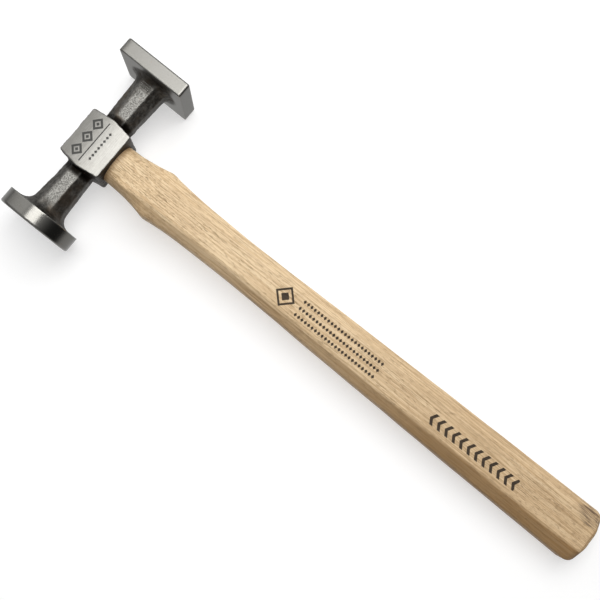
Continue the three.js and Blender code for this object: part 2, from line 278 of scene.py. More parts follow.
# where the painted shade on the lower chamfer lies
CHAMFER_Y = (-7.5, -8.5)
FIGURE_Y = (-6.5, -8.5)
FIGURE_BUTT_X = (170, 270)
FIGURE_NECK_X = 115
FIGURE_NECK_SIDE = (26, 6)
SMUDGE_PLACE = (301.8, 9.8)
SMUDGE_SIZE = (6.5, 4.6)
SMUDGE_SIDE = (1.5, 0.1)
SMUDGE_RAGGED = 3
FRONT_Z = (0, 4)
# a painted dark line along the butt's rounded edge, painted shade with a brown tint by the eye's mouth,
# painted shade at the butt's end
CREASE_X = 308.1
CREASE_SIDE = (0.6, 0.1)
MOUTH_SHADE_AND_GRIME_X = (15.2, 12.4)
BUTT_PAINTED_SHADE_X = (307.9, 310.1)
# where the painted shadow in the gap at the eye's mouth ends
MOUTH_X = (11.9, 11.6)

# growth rings: their slope across the handle, how far noise bends them, and their width
RING_SLOPE_Y = 0.93
RING_SLOPE_Z = 0.36
DRIFT = 9
WAVER = 1.3
RING_WIDTH = 1.5
LATE_WOOD_STARTS = (0.45, 0.95)
LATE_WOOD_ENDS = (1.0, 0.97)

# ornament etched on the cheek
CHEEK_LOZENGE_X = -4.9
CHEEK_LOZENGE_SPACING = 8
CHEEK_LOZENGE_HALVES = (3.5, 3.8)
CHEEK_LINE_X = -0.5
CHEEK_LINE_SIDE = (0.32, 0.24)
CHEEK_BEADS_X = 3.2
CHEEK_BEAD_SPACING = 2.2
CHEEK_BEAD_HALVES = (0.85, 0.95)
CHEEK_BEADS_END = (8.9, 8.7)
CHEEK_MARKS_END = (11.9, 11.8)
CHEEK_MARKS_Z = (10, 10.5)

# grooves across the neck
GROOVES_X = -0.4
GROOVES_Y = 38.4
GROOVE_SPACING = 1.2
GROOVE_SIDE = (0.4, 0.1)
GROOVES_END = (1.85, 1.7)
GROOVE_TIPS = (3.4, 2.4)
GROOVES_Z = (4, 5)

# ornament burned into the handle
BADGE_X = 119.5
BADGE_HALF = 6
BEADS_X = 153.05
BEADS_END = (25.3, 25.1)
BEAD_FIRST_X = 128.9
BEAD_SPACING = (2.1, 3.9)
BEAD_HALVES = (0.9, 1.15)
BEAD_ROWS_SIDE = (5.9, 5.7)
CHEVRONS_X = 237.3
CHEVRONS_Y = -1.5
CHEVRONS_END = (27.4, 27.2)
CHEVRONS_SIDE = (3.1, 3.0)
CHEVRON_FIRST_X = 212
CHEVRON_SLOPE = 0.6
CHEVRON_SPACING = 4.6
CHEVRON_SIDE = (0.95, 0.82)
BURNED_MARKS_Z = (6, 6.5)

# camera, in the tool's frame
CAMERA_PLACE = Vector((134.5, -43.6, 439.7))
CAMERA_AIM = Vector((126.0, 4.2, 0.0))
HANDLE_SLANT = math.radians(38.8)
CAMERA_LENS = 53.06
CAMERA_NEAR = 0.01
CAMERA_FAR = 20

# light; the boxes' places and sizes are in millimetres, and their power is in watts
OVERHEAD_BOX = ((0, 240, 775), (480, 825), 5.7)
FILL_BOX = ((-1500, 300, 700), (900, 2600), 4.5)
BRIGHT_SIDE = Vector((-0.5, 0.45, 0.74))
WORLD_ABOVE = 0.55
ABOVE_RANGE = (-0.1, 0.95)
WORLD_BELOW = 0.6
BELOW_RANGE = (-0.05, -0.5)
WORLD_SIDES = 0.4
SIDES_RANGE = (0.3, 0.9)
WORLD_SHADE = 0.03
WORLD_SEEN = 0.97
FLOOR_HALF = 3.0
FLOOR_GRAY = 0.55
FLOOR_ROUGHNESS = 0.9
FLOOR_GLOW = 0.5

WHITE = (1, 1, 1, 1)
NEARLY_ZERO = 1e-6

HALF_HEAD = HEAD_LENGTH / 2
BLOCK_HALF_WIDTH = BLOCK_WIDTH / 2
TENON_TOP_X = -BLOCK_HALF_WIDTH - TENON_PROUD


# ---------------------------------------------------------------- placing

def lie_angle():
    """The angle at which the butt's lower edge reaches as low as the round face's rim."""
    thickness = GRIP_STATIONS[-1][2]
    arc_x = BUTT_X - BUTT_EDGE_RADIUS
    arc_z = thickness - BUTT_EDGE_RADIUS
    lift = (ROUND_DIAMETER / 2 - BUTT_EDGE_RADIUS) / math.hypot(arc_x, arc_z)
    return math.asin(lift) - math.atan2(arc_z, arc_x)


def tool_frame():
    """From the tool's frame in metres to the row frame: the eye is midway between the two faces."""
    faces = [Vector(mount["pos_m"]) for mount in frame["record"]["mounts"]]
    eye = sum(faces, Vector()) / len(faces)
    return Matrix.Translation(eye) @ Matrix.Rotation(lie_angle(), 4, "Y")


TOOL = tool_frame()


# ---------------------------------------------------------------- small maths

def smoothstep(value, start, end):
    """0 below start, 1 above end, and smooth between."""
    share = np.clip((value - start) / (end - start), 0, 1)
    return share * share * (3 - 2 * share)


def lerp(start, end, share):
    return start + (end - start) * share


def joined(a, b, radius):
    """The union of two distance fields, with a fillet."""
    inner = np.hypot(np.maximum(radius - a, 0), np.maximum(radius - b, 0))
    return np.maximum(radius, np.minimum(a, b)) - inner


def common(a, b, radius):
    """The intersection of two distance fields, with a rounded edge."""
    outer = np.hypot(np.maximum(radius + a, 0), np.maximum(radius + b, 0))
    return np.minimum(-radius, np.maximum(a, b)) + outer


# ---------------------------------------------------------------- the head as a distance field

def block_field(x, y, z):
    """The eye block: its two ends come to a low point, and its cheeks are crowned."""
    middle = BLOCK_MIDDLE_LENGTH / 2
    slope = (middle - BLOCK_END_LENGTH / 2) / BLOCK_HALF_WIDTH
    sides = np.abs(x) - BLOCK_HALF_WIDTH
    ends = (np.abs(y) + slope * np.abs(x) - middle) / math.hypot(1, slope)
    crown = (BLOCK_MIDDLE_THICKNESS - BLOCK_EDGE_THICKNESS) / 2
    drop = crown * (x / BLOCK_HALF_WIDTH) ** 2
    cheeks = np.abs(z) + drop - BLOCK_MIDDLE_THICKNESS / 2
    return common(common(sides, ends, BLOCK_CORNER_RADIUS), cheeks, CHEEK_EDGE_RADIUS)


def neck_field(x, y, z, back_y, flare):
    """An octagonal neck along +Y that turns round where it flares into the back of a face."""
    start_y = BLOCK_MIDDLE_LENGTH / 2
    round_y = back_y - flare
    along = np.clip((y - start_y) / (round_y - start_y), 0, 1)
    reach = lerp(NECK_WIDTH_AT_EYE, NECK_WIDTH_AT_FACE, along) / 2
    octagon = sum(
        np.abs(x * math.cos(turn) + z * math.sin(turn)) ** NECK_EDGE_SHARPNESS
        for turn in (quarter * math.pi / 4 for quarter in range(4))
    ) ** (1 / NECK_EDGE_SHARPNESS)
    across = lerp(octagon, np.hypot(x, z), smoothstep(y, round_y, back_y))
    return np.maximum(across - reach, np.maximum(y - back_y - OVERRUN, -y))


def plate_field(outline, y, back_y):
    """A flat face: an outline between its back and its striking surface."""
    return common(common(outline, y - HALF_HEAD, STRIKING_EDGE_RADIUS), back_y - y, BACK_EDGE_RADIUS)


def eye_half_length(x):
    """Half the eye's length along the head: least at the throat, wider at the mouth and the top."""
    to_mouth = (x - EYE_THROAT_X) / (BLOCK_HALF_WIDTH - EYE_THROAT_X)
    to_top = (EYE_THROAT_X - x) / (EYE_THROAT_X + BLOCK_HALF_WIDTH)
    mouth = lerp(EYE_LENGTH_AT_THROAT, EYE_LENGTH_AT_MOUTH, to_mouth)
    top = lerp(EYE_LENGTH_AT_THROAT, EYE_LENGTH_AT_TOP, to_top)
    return np.maximum(mouth, top) / 2


def eye_field(x, y, z):
    """About the distance to the oval eye's wall, negative in the hole."""
    length = eye_half_length(x)
    width = EYE_OVALITY * length
    share = np.hypot(y / length, z / width)
    return share * (share - 1) / np.maximum(np.hypot(y / length**2, z / width**2), NEARLY_ZERO)


def head_field(points):
    """Signed distance to the head's surface, negative inside the steel."""
    x, y, z = points.T
    square_back = HALF_HEAD - SQUARE_THICKNESS
    round_back = HALF_HEAD - ROUND_THICKNESS
    side = SQUARE_SIDE / 2
    square = common(np.abs(x) - side, np.abs(z) - side, SQUARE_CORNER_RADIUS)
    disc = np.hypot(x, z) - ROUND_DIAMETER / 2
    upper_neck = neck_field(x, y, z, square_back, SQUARE_FLARE_RADIUS)
    lower_neck = neck_field(x, -y, z, round_back, ROUND_FLARE_RADIUS)
    upper = joined(upper_neck, plate_field(square, y, square_back), SQUARE_FLARE_RADIUS)
    lower = joined(lower_neck, plate_field(disc, -y, round_back), ROUND_FLARE_RADIUS)
    body = joined(block_field(x, y, z), np.minimum(upper, lower), NECK_ROOT_RADIUS)
    return common(body, -eye_field(x, y, z), EYE_EDGE_RADIUS) + SKIN_INSET


# ---------------------------------------------------------------- meshes from distance fields

def gradient(field, points, step=0.02):
    """How fast a field rises along each axis."""
    slopes = []
    for axis in range(3):
        offset = np.zeros(3)
        offset[axis] = step
        slopes.append((field(points + offset) - field(points - offset)) / (2 * step))
    return np.stack(slopes, 1)


def settled(field, points, rounds=3, least_steepness=0.1):
    """Points moved onto the field's surface by Newton's method."""
    for _ in range(rounds):
        slope = gradient(field, points)
        steepness = np.maximum((slope * slope).sum(1), least_steepness)
        points = points - slope * (field(points) / steepness)[:, None]
    return points


def crossed_cells(value):
    """The cells of a grid with corners on both sides of the surface."""
    corners = (value < 0).astype(int)
    for axis in range(3):
        count = corners.shape[axis] - 1
        corners = np.take(corners, range(count), axis) + np.take(corners, range(1, count + 1), axis)
    return (corners > 0) & (corners < CELL_CORNERS)


def edge_crossings(lattice, value, axis, cell):
    """For the grid's edges along an axis: which cross the surface, which start inside, and where."""
    count = value.shape[axis] - 1
    start = np.take(value, range(count), axis)
    end = np.take(value, range(1, count + 1), axis)
    crossed = (start < 0) != (end < 0)
    share = np.where(crossed, start / np.where(crossed, start - end, 1), 0)
    place = np.take(lattice, range(count), axis).copy()
    place[..., axis] += share * cell
    return crossed, start < 0, place * crossed[..., None]


def cells_beside(cells, axis):
    """The four windows that line up the grid's edges along an axis with the cells round them."""
    u, v = (other for other in range(3) if other != axis)
    for i, j in ((0, 0), (0, 1), (1, 0), (1, 1)):
        window = [slice(None)] * 3
        window[u] = slice(i, i + cells[u])
        window[v] = slice(j, j + cells[v])
        yield tuple(window)


def edge_quads(index, crossed, starts_inside, axis):
    """A quad round each crossed edge, through the vertices of the four cells that share it."""
    u, v = (np.eye(3, dtype=int)[other] for other in range(3) if other != axis)
    where = np.argwhere(crossed)
    quads = np.stack([index[tuple((where + offset).T)] for offset in (-u - v, -v, 0 * u, -u)], 1)
    outward = starts_inside[tuple(where.T)] == (axis != 1)
    quads[~outward] = quads[~outward][:, ::-1]
    return quads


def surface_net(field, low, high, cell):
    """Vertices and quads of the surface where a field is zero: one vertex in each cell it crosses."""
    counts = [math.ceil((last - first) / cell) + 1 for first, last in zip(low, high)]
    axes = [first + cell * np.arange(count) for first, count in zip(low, counts)]
    lattice = np.stack(np.meshgrid(*axes, indexing="ij"), -1)
    value = field(lattice.reshape(-1, 3)).reshape(counts)
    active = crossed_cells(value)
    index = np.full(active.shape, -1)
    index[active] = np.arange(active.sum())
    total = np.zeros((*active.shape, 3))
    crossings = np.zeros(active.shape)
    quads = []
    for axis in range(3):
        crossed, starts_inside, place = edge_crossings(lattice, value, axis, cell)
        for window in cells_beside(active.shape, axis):
            total += place[window]
            crossings += crossed[window]
        quads.append(edge_quads(index, crossed, starts_inside, axis))
    return total[active] / crossings[active][:, None], np.concatenate(quads)


def relaxed(field, points, quads, rounds):
    """Evens out the mesh along the surface without leaving it."""
    for _ in range(rounds):
        centres = points[quads].mean(1)
        total = np.zeros_like(points)
        count = np.zeros(len(points))
        for corner in quads.T:
            np.add.at(total, corner, centres)
            np.add.at(count, corner, 1)
        points = settled(field, lerp(points, total / count[:, None], RELAX_SHARE), 2)
    return points


# ---------------------------------------------------------------- objects

def mesh_object(name, points, faces, material):
    """An object made from points in the tool's millimetres."""
    mesh = bpy.data.meshes.new(name)
    mesh.from_pydata((np.asarray(points) * MM).tolist(), [], [list(map(int, face)) for face in faces])
    mesh.validate()
    mesh.transform(TOOL)
    mesh.shade_smooth()
    if material:
        mesh.materials.append(material)
    made = bpy.data.objects.new(name, mesh)
    bpy.context.scene.collection.objects.link(made)
    return made


def set_attribute(made, name, values):
    """Stores a number at each of an object's points, for its material to read."""
    attribute = made.data.attributes.new(name, "FLOAT", "POINT")
    attribute.data.foreach_set("value", np.asarray(values, np.float32))


def tube_faces(rows, columns, close_rows=False):
    """Quads between rows of points, each row a closed loop of columns points."""
    faces = []
    for row in range(rows if close_rows else rows - 1):
        following = (row + 1) % rows
        for column in range(columns):
            beside = (column + 1) % columns
            faces.append((
                row * columns + column,
                following * columns + column,
                following * columns + beside,
                row * columns + beside,
            ))
    return faces


def flipped(faces):
    """The same faces, looking the other way."""
    return [face[::-1] for face in faces]


def cut(made, cutters):
    """Cuts solids out of an object, and removes them."""
    for cutter in cutters:
        modifier = made.modifiers.new("cut", "BOOLEAN")
        modifier.operation = "DIFFERENCE"
        modifier.solver = "EXACT"
        modifier.object = cutter
    bpy.context.view_layer.update()
    evaluated = made.evaluated_get(bpy.context.evaluated_depsgraph_get())
    mesh = bpy.data.meshes.new_from_object(evaluated)
    made.modifiers.clear()
    made.data = mesh
    for cutter in cutters:
        bpy.data.objects.remove(cutter)


def fractal(point, size, octaves):
    """Layered noise about zero, with features about size long."""
    return noise.fractal(Vector(point) / size, 1.0, 2.0, octaves, noise_basis="PERLIN_ORIGINAL")


# ---------------------------------------------------------------- the head

def strip_share(points):
    """Where a neck's front and back facets are ground to a bright strip with soft ends."""
    x, y, z = points.T
    start = smoothstep(np.abs(y), *STRIP_START)
    end = np.where(y > 0, smoothstep(y, *UPPER_STRIP_END), smoothstep(-y, *LOWER_STRIP_END))
    middle = np.where(y > 0, UPPER_STRIP_X, LOWER_STRIP_X)
    side = smoothstep(np.abs(x - middle), *STRIP_SIDE)
    return start * (1 - end) * (1 - side) * (np.abs(z) > NECK_WIDTH_AT_EYE / 2 - STRIP_DEPTH)


def ground_share(points, normals):
    """How far the steel is ground bright, from 0 on the forged skin to 1."""
    x, y, z = points.T
    cheek = smoothstep(np.abs(normals[:, 2]), *CHEEK_FACING)
    cheek *= np.abs(y) < BLOCK_MIDDLE_LENGTH / 2 + CHEEK_MARGIN
    cheek *= np.abs(z) > BLOCK_EDGE_THICKNESS / 2 - CHEEK_DEPTH
    square_plate = y > HALF_HEAD - SQUARE_THICKNESS - PLATE_MARGIN
    round_plate = -y > HALF_HEAD - ROUND_THICKNESS - PLATE_MARGIN
    flare = NECK_WIDTH_AT_FACE / 2 + np.where(y > 0, SQUARE_FLARE_RADIUS, ROUND_FLARE_RADIUS)
    beyond_flare = smoothstep(np.hypot(x, z), flare + FLARE_BAND[0], flare + FLARE_BAND[1])
    striking = np.abs(y) > HALF_HEAD - SQUARE_THICKNESS / 2
    return np.maximum(cheek, (square_plate | round_plate) * np.maximum(beyond_flare, striking))


def turning(points, reach):
    """How sharply the surface turns over a reach: above 0 outwards on edges, below 0 in hollows."""
    here = head_field(points)
    total = np.zeros(len(points))
    for axis in range(3):
        offset = np.zeros(3)
        offset[axis] = reach
        total += head_field(points + offset) + head_field(points - offset) - 2 * here
    return total / reach**2


def skin_height(points):
    """The forged skin: fine scale over broad hammer marks."""
    return np.array([
        SCALE_DEPTH * fractal(point, SCALE_SIZE, SCALE_OCTAVES)
        + HAMMERED_DEPTH * fractal(point, HAMMERED_SIZE, HAMMERED_OCTAVES)
        for point in points
    ])


def build_head(material):
    """The forging, with what its material has to know stored at each point."""
    side = ROUND_DIAMETER / 2 + GRID_MARGIN
    end = HALF_HEAD + GRID_MARGIN
    points, quads = surface_net(head_field, (-side, -end, -side), (side, end, side), HEAD_CELL)
    points = relaxed(head_field, settled(head_field, points), quads, RELAX_ROUNDS)
    normals = gradient(head_field, points)
    normals /= np.linalg.norm(normals, axis=1)[:, None]
    shares = {
        "ground": ground_share(points, normals),
        "facet": strip_share(points),
        "edge": np.clip(turning(points, EDGE_REACH) / EDGE_TURN, 0, 1),
        # hollows, where the steel's material paints shade
        "hollow": np.clip(-turning(points, HOLLOW_REACH) / HOLLOW_TURN, 0, 1),
    }
    forged = 1 - np.maximum(shares["ground"], shares["facet"])
    forged *= np.abs(eye_field(*points.T)) >= EYE_WALL_DEPTH
    points = points + normals * (skin_height(points) * forged)[:, None]
    made = mesh_object("head_forging", points, quads, material)
    for name, values in shares.items():
        set_attribute(made, name, values)
    return made


# ---------------------------------------------------------------- the handle

def station_curve(stations):
    """A smooth curve through stations whose first number is the place along the handle."""
    table = np.array(stations, float)
    x = table[:, 0]
    slopes = np.gradient(table[:, 1:], x, axis=0)

    def at(place):
        i = int(np.clip(np.searchsorted(x, place) - 1, 0, len(x) - 2))
        span = x[i + 1] - x[i]
        t = (place - x[i]) / span
        return (
            (2 * t**3 - 3 * t**2 + 1) * table[i, 1:]
            + (t**3 - 2 * t**2 + t) * span * slopes[i]
            + (3 * t**2 - 2 * t**3) * table[i + 1, 1:]
            + (t**3 - t**2) * span * slopes[i + 1]
        )

    return at


def oval_reach(angle, width, thickness):
    """How far an oval reaches from its middle at each angle."""
    return 1 / np.hypot(np.cos(angle) / width, np.sin(angle) / thickness)


def chamfered_reach(angle, width, thickness, chamfer):
    """How far a rectangle with chamfered corners reaches from its middle at each angle."""
    y, z = np.abs(np.cos(angle)), np.abs(np.sin(angle))
    corner = GRIP_CHAMFER_DEPTH * (width - chamfer) + chamfer * thickness
    terms = [y / width, z / thickness, (GRIP_CHAMFER_DEPTH * y + chamfer * z) / corner]
    return sum(term**GRIP_ROUNDNESS for term in terms) ** (-1 / GRIP_ROUNDNESS)


def handle_row(x, width, thickness, chamfer, squareness):
    """One section of the handle: oval in the eye, a chamfered rectangle as squareness goes to 1."""
    angle = np.linspace(0, 2 * math.pi, HANDLE_COLUMNS, endpoint=False)
    oval = oval_reach(angle, width, thickness)
    reach = lerp(oval, chamfered_reach(angle, width, thickness, chamfer), squareness)
    return np.stack([np.full_like(angle, x), reach * np.cos(angle), reach * np.sin(angle)], 1)


def cap_rows(row, end_x):
    """Rings that close a row: flat, or a shallow dome if its middle is at another place than the row."""
    edge_x = row[0, 0]
    rings = []
    for i in range(1, CAP_RINGS):
        share = 1 - i / CAP_RINGS
        ring = row * share
        ring[:, 0] = lerp(edge_x, end_x, 1 - share**2)
        rings.append(ring)
    return rings


def tenon_size(x):
    """Half the tenon's width and thickness in the eye."""
    length = float(eye_half_length(x))
    return length - TENON_GAP, EYE_OVALITY * length - TENON_GAP


def tenon_rows():
    """The handle's sections in the eye."""
    places = np.arange(TENON_TOP_X, BLOCK_HALF_WIDTH, HANDLE_ROW_STEP)
    return [handle_row(x, *tenon_size(x), TENON_CHAMFER, 0) for x in places]


def grip_rows():
    """The handle's sections from the eye's mouth to where the butt's corners start to round."""
    mouth = (BLOCK_HALF_WIDTH, *tenon_size(BLOCK_HALF_WIDTH), TENON_CHAMFER)
    curve = station_curve([mouth, *GRIP_STATIONS])
    end_x = BUTT_X - BUTT_DOME - BUTT_CORNER_RADIUS
    return [
        handle_row(x, *curve(x), smoothstep(x, BLOCK_HALF_WIDTH, GRIP_FROM_X))
        for x in np.arange(BLOCK_HALF_WIDTH + FIRST_GRIP_ROW, end_x, HANDLE_ROW_STEP)
    ]


def butt_rows():
    """The handle's sections at the butt, drawn in along two arcs."""
    width, thickness, chamfer = GRIP_STATIONS[-1][1:]
    end_x = BUTT_X - BUTT_DOME
    rows = []
    for i in range(BUTT_ROWS + 1):
        x = end_x - BUTT_CORNER_RADIUS * (1 - math.sin(i / BUTT_ROWS * math.pi / 2))
        corner_inset, edge_inset = (
            radius - math.sqrt(radius**2 - max(x - (end_x - radius), 0) ** 2)
            for radius in (BUTT_CORNER_RADIUS, BUTT_EDGE_RADIUS)
        )
        rows.append(handle_row(x, width - corner_inset, thickness - edge_inset, chamfer, 1))
    return rows


def sanded(points):
    """The handle's points with the grip taken in a little, and unevenly, as by hand."""
    outward = points * (0, 1, 1)
    reach = np.maximum(np.linalg.norm(outward, axis=1), NEARLY_ZERO)[:, None]
    uneven = np.array([0.5 + fractal(point * SANDING_STRETCH, 1.0, SANDING_OCTAVES) for point in points])
    grip = smoothstep(points[:, 0], BLOCK_HALF_WIDTH, GRIP_FROM_X)
    return points - outward / reach * ((SANDING_DEPTH * uneven.clip(0, 1) + SKIN_INSET) * grip)[:, None]


def build_handle(material):
    """The handle as one skin, closed by a point in the middle of each end."""
    rows = tenon_rows() + grip_rows() + butt_rows()
    rows = cap_rows(rows[0], TENON_TOP_X)[::-1] + rows + cap_rows(rows[-1], BUTT_X)
    points = np.vstack([*rows, [(TENON_TOP_X, 0, 0), (BUTT_X, 0, 0)]])
    faces = tube_faces(len(rows), HANDLE_COLUMNS)
    top = len(rows) * HANDLE_COLUMNS
    last_row = top - HANDLE_COLUMNS
    for column in range(HANDLE_COLUMNS):
        beside = (column + 1) % HANDLE_COLUMNS
        faces.append((column, beside, top))
        faces.append((last_row + beside, last_row + column, top + 1))
    return mesh_object("hickory_handle", sanded(points), flipped(faces), material)


# ---------------------------------------------------------------- the wedges

def wedge_solid(name, grow, proud, material=None):
    """The wooden wedge, its ends shaped to the eye. Grown, it is its own kerf."""
    angle = np.linspace(0, 2 * math.pi, WEDGE_COLUMNS, endpoint=False)
    rows = []
    for share in np.linspace(0, 1, WEDGE_ROWS):
        x = lerp(TENON_TOP_X - proud, TENON_TOP_X + WEDGE_DEPTH + grow, share)
        half = lerp(WEDGE_THICKNESS, WEDGE_TIP, share) / 2 + grow
        length = float(eye_half_length(x)) - TENON_GAP + (OVERRUN if grow else -CUT_GAP)
        y = length * np.cos(angle)
        z = np.sign(np.sin(angle)) * np.minimum(half, EYE_OVALITY * length * np.abs(np.sin(angle)))
        rows.append(np.stack([np.full_like(angle, x), y, z], 1))
    faces = tube_faces(len(rows), WEDGE_COLUMNS)
    total = len(rows) * WEDGE_COLUMNS
    faces.append(tuple(range(WEDGE_COLUMNS)))
    faces.append(tuple(range(total - 1, total - WEDGE_COLUMNS - 1, -1)))
    return mesh_object(name, np.concatenate(rows), flipped(faces), material)


def ring_profile(grow, proud):
    """Places along the handle and radii round the ring wedge, its driven end bevelled."""
    start = TENON_TOP_X - proud
    tip = TENON_TOP_X + RING_DEPTH + grow
    outer = RING_DIAMETER / 2 + grow
    inner = RING_DIAMETER / 2 - RING_WALL - grow
    tip_outer = RING_TIP_DIAMETER / 2 + grow
    tip_inner = RING_TIP_DIAMETER / 2 - RING_TIP_WALL - grow
    bulge = BEVEL_BULGE * RING_BEVEL
    return [
        (start + RING_BEVEL, inner),
        (start + bulge, inner + bulge),
        (start, inner + RING_BEVEL),
        (start, (inner + outer) / 2),
        (start, outer - RING_BEVEL),
        (start + bulge, outer - bulge),
        (start + RING_BEVEL, outer),
        (lerp(start, tip, 0.5), lerp(outer, tip_outer, 0.5)),
        (tip, tip_outer),
        (tip, tip_inner),
        (lerp(start, tip, 0.5), lerp(inner, tip_inner, 0.5)),
    ]


def ring_solid(name, grow, proud, material=None):
    """The round wedge: a tapered ring with its sharp end in the wood. Grown, it is its own groove."""
    angle = np.linspace(0, 2 * math.pi, RING_COLUMNS, endpoint=False)
    rows = [
        np.stack([np.full_like(angle, x), radius * np.cos(angle), radius * np.sin(angle)], 1)
        for x, radius in ring_profile(grow, proud)
    ]
    faces = tube_faces(len(rows), RING_COLUMNS, close_rows=True)
    return mesh_object(name, np.concatenate(rows), flipped(faces), material)


# ---------------------------------------------------------------- materials

class Field:
    """A number that varies over a surface, worked out by shader nodes and written as a formula."""

    def __init__(self, tree, socket):
        self.tree = tree
        self.socket = socket

    def math(self, operation, *others):
        node = self.tree.nodes.new("ShaderNodeMath")
        node.operation = operation
        for slot, value in zip(node.inputs, (self, *others)):
            if isinstance(value, Field):
                self.tree.links.new(value.socket, slot)
            else:
                slot.default_value = value
        return Field(self.tree, node.outputs[0])

    def __add__(self, other):
        return self.math("ADD", other)

    def __sub__(self, other):
        return self.math("SUBTRACT", other)

    def __mul__(self, other):
        return self.math("MULTIPLY", other)

    def __truediv__(self, other):
        return self.math("DIVIDE", other)

    def __abs__(self):
        return self.math("ABSOLUTE")

    def inverse(self):
        """What is left of 1."""
        return self.math("MULTIPLY_ADD", -1, 1)

    def most(self, other):
        return self.math("MAXIMUM", other)

    def least(self, other):
        return self.math("MINIMUM", other)

    def repeat(self, period):
        """The distance from the middle of the nearest of a row of places a period apart."""
        return abs(self.math("WRAP", period / 2, -period / 2))

    def between(self, start, end):
        """0 at start, 1 at end, smooth between, and level beyond; start may be above end."""
        node = self.tree.nodes.new("ShaderNodeMapRange")
        node.interpolation_type = "SMOOTHSTEP"
        low, high = min(start, end), max(start, end)
        self.tree.links.new(self.socket, node.inputs["Value"])
        node.inputs["From Min"].default_value = low
        node.inputs["From Max"].default_value = high
        node.inputs["To Min"].default_value = 0 if start < end else 1
        node.inputs["To Max"].default_value = 1 if start < end else 0
        return Field(self.tree, node.outputs["Result"])


class Surface:
    """A material built on one Principled shader, with its coordinates in the tool's millimetres."""

    def __init__(self, name):
        self.material = bpy.data.materials.new(name)
        self.material.use_nodes = True
        self.tree = self.material.node_tree
        self.shader = self.tree.nodes["Principled BSDF"]
        coordinates = self.tree.nodes.new("ShaderNodeTexCoord")
        back = self.tree.nodes.new("ShaderNodeMapping")
        back.vector_type = "TEXTURE"
        back.inputs["Location"].default_value = TOOL.to_translation()
        back.inputs["Rotation"].default_value = TOOL.to_euler()
        back.inputs["Scale"].default_value = (MM, MM, MM)
        self.tree.links.new(coordinates.outputs["Object"], back.inputs["Vector"])
        self.place = back.outputs["Vector"]
        split = self.tree.nodes.new("ShaderNodeSeparateXYZ")
        self.tree.links.new(self.place, split.inputs[0])
        self.x, self.y, self.z = (Field(self.tree, output) for output in split.outputs)

    def attribute(self, name):
        """A number stored at the mesh's points."""
        node = self.tree.nodes.new("ShaderNodeAttribute")
        node.attribute_name = name
        return Field(self.tree, node.outputs["Fac"])

    def noise(self, size, detail=3.0, roughness=0.5, distortion=0.0):
        """Noise whose features are about size millimetres long on each axis."""
        stretch = self.tree.nodes.new("ShaderNodeVectorMath")
        stretch.operation = "DIVIDE"
        stretch.inputs[1].default_value = size
        self.tree.links.new(self.place, stretch.inputs[0])
        node = self.tree.nodes.new("ShaderNodeTexNoise")
        node.inputs["Scale"].default_value = 1.0
        node.inputs["Detail"].default_value = detail
        node.inputs["Roughness"].default_value = roughness
        node.inputs["Distortion"].default_value = distortion
        self.tree.links.new(stretch.outputs[0], node.inputs["Vector"])
        return Field(self.tree, node.outputs[0])

    def colour(self, share, first, second):
        """A mix of two colours, each three numbers or an earlier mix."""
        node = self.tree.nodes.new("ShaderNodeMix")
        node.data_type = "RGBA"
        sockets = [socket for socket in node.inputs if socket.type == "RGBA"]
        self.tree.links.new(share.socket, node.inputs["Factor"])
        for socket, value in zip(sockets, (first, second)):
            if isinstance(value, tuple):
                socket.default_value = (*value, 1)
            else:
                self.tree.links.new(value, socket)
        return next(output for output in node.outputs if output.type == "RGBA")

    def layered(self, colour, layers):
        """A colour under others, each given as where it lies, how strongly, and its own colour."""
        for share, strength, over in layers:
            colour = self.colour(share * strength, colour, over)
        return colour

    def set(self, name, value):
        """Sets an input of the shader to a number, or feeds it a field or a colour."""
        if isinstance(value, Field):
            value = value.socket
        if isinstance(value, (int, float)):
            self.shader.inputs[name].default_value = value
        else:
            self.tree.links.new(value, self.shader.inputs[name])

    def bump(self, height, depth):
        """Raises the surface by height, a field from 0 to 1, times depth in millimetres."""
        node = self.tree.nodes.new("ShaderNodeBump")
        node.inputs["Distance"].default_value = depth * MM
        self.tree.links.new(height.socket, node.inputs["Height"])
        self.tree.links.new(node.outputs[0], self.shader.inputs["Normal"])


def lozenge(x, y, half_x, half_y):
    """Less than 1 inside a lozenge about x = y = 0."""
    return abs(x) / half_x + abs(y) / half_y


def etched_marks(s):
    """Ornament on the front cheek: a column of lozenges, a fine line and a row of beads."""
    shape = lozenge(s.x - CHEEK_LOZENGE_X, s.y.repeat(CHEEK_LOZENGE_SPACING), *CHEEK_LOZENGE_HALVES)
    outline = shape.between(1.0, 0.94) * shape.between(0.5, 0.56)
    lozenges = outline.most(shape.between(0.3, 0.24))
    line = abs(s.x - CHEEK_LINE_X).between(*CHEEK_LINE_SIDE)
    along = (s.y - CHEEK_BEAD_SPACING / 2).repeat(CHEEK_BEAD_SPACING)
    beads = lozenge(s.x - CHEEK_BEADS_X, along, *CHEEK_BEAD_HALVES).between(1.0, 0.85)
    beads = beads * abs(s.y).between(*CHEEK_BEADS_END)
    on_cheek = abs(s.y).between(*CHEEK_MARKS_END) * s.z.between(*CHEEK_MARKS_Z)
    return lozenges.most(line).most(beads) * on_cheek


def forging_grooves(s):
    """Three fine lines across the upper neck's front, just short of the square face."""
    along = s.y - GROOVES_Y
    lines = along.repeat(GROOVE_SPACING).between(*GROOVE_SIDE) * abs(along).between(*GROOVES_END)
    return lines * abs(s.x - GROOVES_X).between(*GROOVE_TIPS) * s.z.between(*GROOVES_Z)


